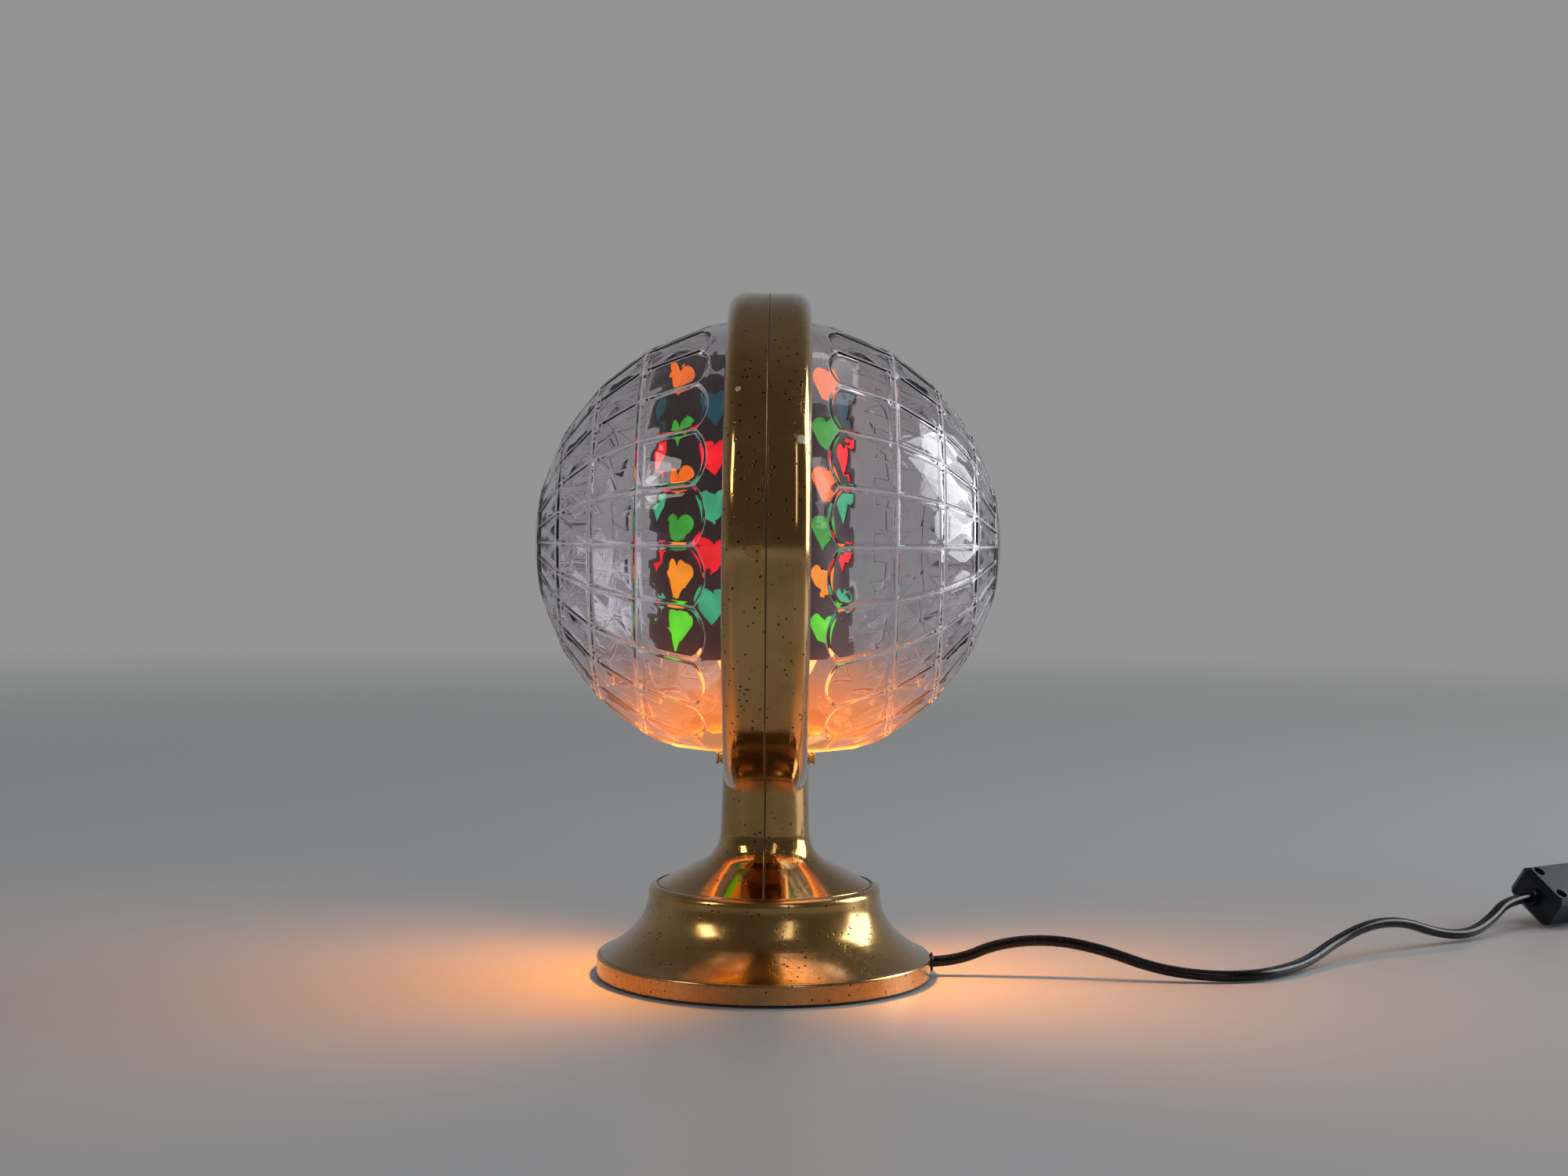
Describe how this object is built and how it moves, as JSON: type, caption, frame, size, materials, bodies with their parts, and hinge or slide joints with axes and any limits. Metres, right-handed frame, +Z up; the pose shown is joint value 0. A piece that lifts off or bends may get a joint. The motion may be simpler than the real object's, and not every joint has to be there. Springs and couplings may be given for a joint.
{
  "type": "rotating motion lamp",
  "caption": "Table lamp: a round ring stand holds two faceted clear domes around a heart-pierced drum that turns on a needle above the bulb; lead with rocker switch and plug.",
  "frame": {"origin": "middle of the underside of the base, on the table", "axes": "+Z up the lamp; the ring of the stand lies in the plane X = 0 with the domes towards -X and +X; the lead leaves the base at +X"},
  "size_m": [0.6312, 0.3191, 0.2934],
  "materials": {
    "gold_plastic": "gold plated, glossy, fine scratches",
    "felt": "felt",
    "steel": "plain",
    "brass": "plain",
    "clear_plastic": "clear, polished",
    "white_plastic": "satin",
    "bulb_glass": "clear",
    "filament": "plain",
    "drum_plastic": "satin",
    "colour_film": "tinted film",
    "cord_rubber": "glossy",
    "black_plastic": "satin",
    "nickel": "plated"
  },
  "bodies": {
    "stand": {"base_shell": "gold_plastic", "stand_half_left": "gold_plastic", "stand_half_right": "gold_plastic", "base_felt": "felt", "base_plate": "steel", "plate_screws": "steel", "tube_nuts": "steel", "tube_washer": "steel", "threaded_tube": "steel", "switch_screws": "steel", "pivot_arch": "steel", "pivot_needle": "steel", "neck_screws": "brass", "holder_contact": "brass", "bulb_cap": "brass", "switch_contacts": "brass", "dome_left": "clear_plastic", "dome_right": "clear_plastic", "lamp_holder": "white_plastic", "holder_ring": "white_plastic", "bulb_glass": "bulb_glass", "bulb_stem": "bulb_glass", "bulb_filament": "filament", "inner_lead": "cord_rubber", "cord_to_switch": "cord_rubber", "cord_to_coil": "cord_rubber", "cord_coil": "cord_rubber", "cord_to_plug": "cord_rubber", "cord_grommet": "cord_rubber", "switch_base": "black_plastic", "switch_cover": "black_plastic", "plug_body": "black_plastic", "cord_tie": "black_plastic", "plug_pins": "nickel"},
    "rotor": {"drum_sleeve": "drum_plastic", "colour_film": "colour_film", "drum_hoops": "drum_plastic", "rotor_turbine": "drum_plastic", "pivot_cup": "brass"},
    "rocker": {"switch_rocker": "black_plastic"}
  },
  "joints": [
    {"name": "rotor_spin", "type": "hinge", "parent": "stand", "child": "rotor", "pos_m": [-0.008, 0, 0.2608], "axis": [0, 0, 1], "continuous": true},
    {"name": "switch_rocker_tilt", "type": "hinge", "parent": "stand", "child": "rocker", "pos_m": [0.39924, 0.15747, 0.01083], "axis": [-0.4687, 0.6718, 0.5736], "range_deg": [0, 14]}
  ]
}
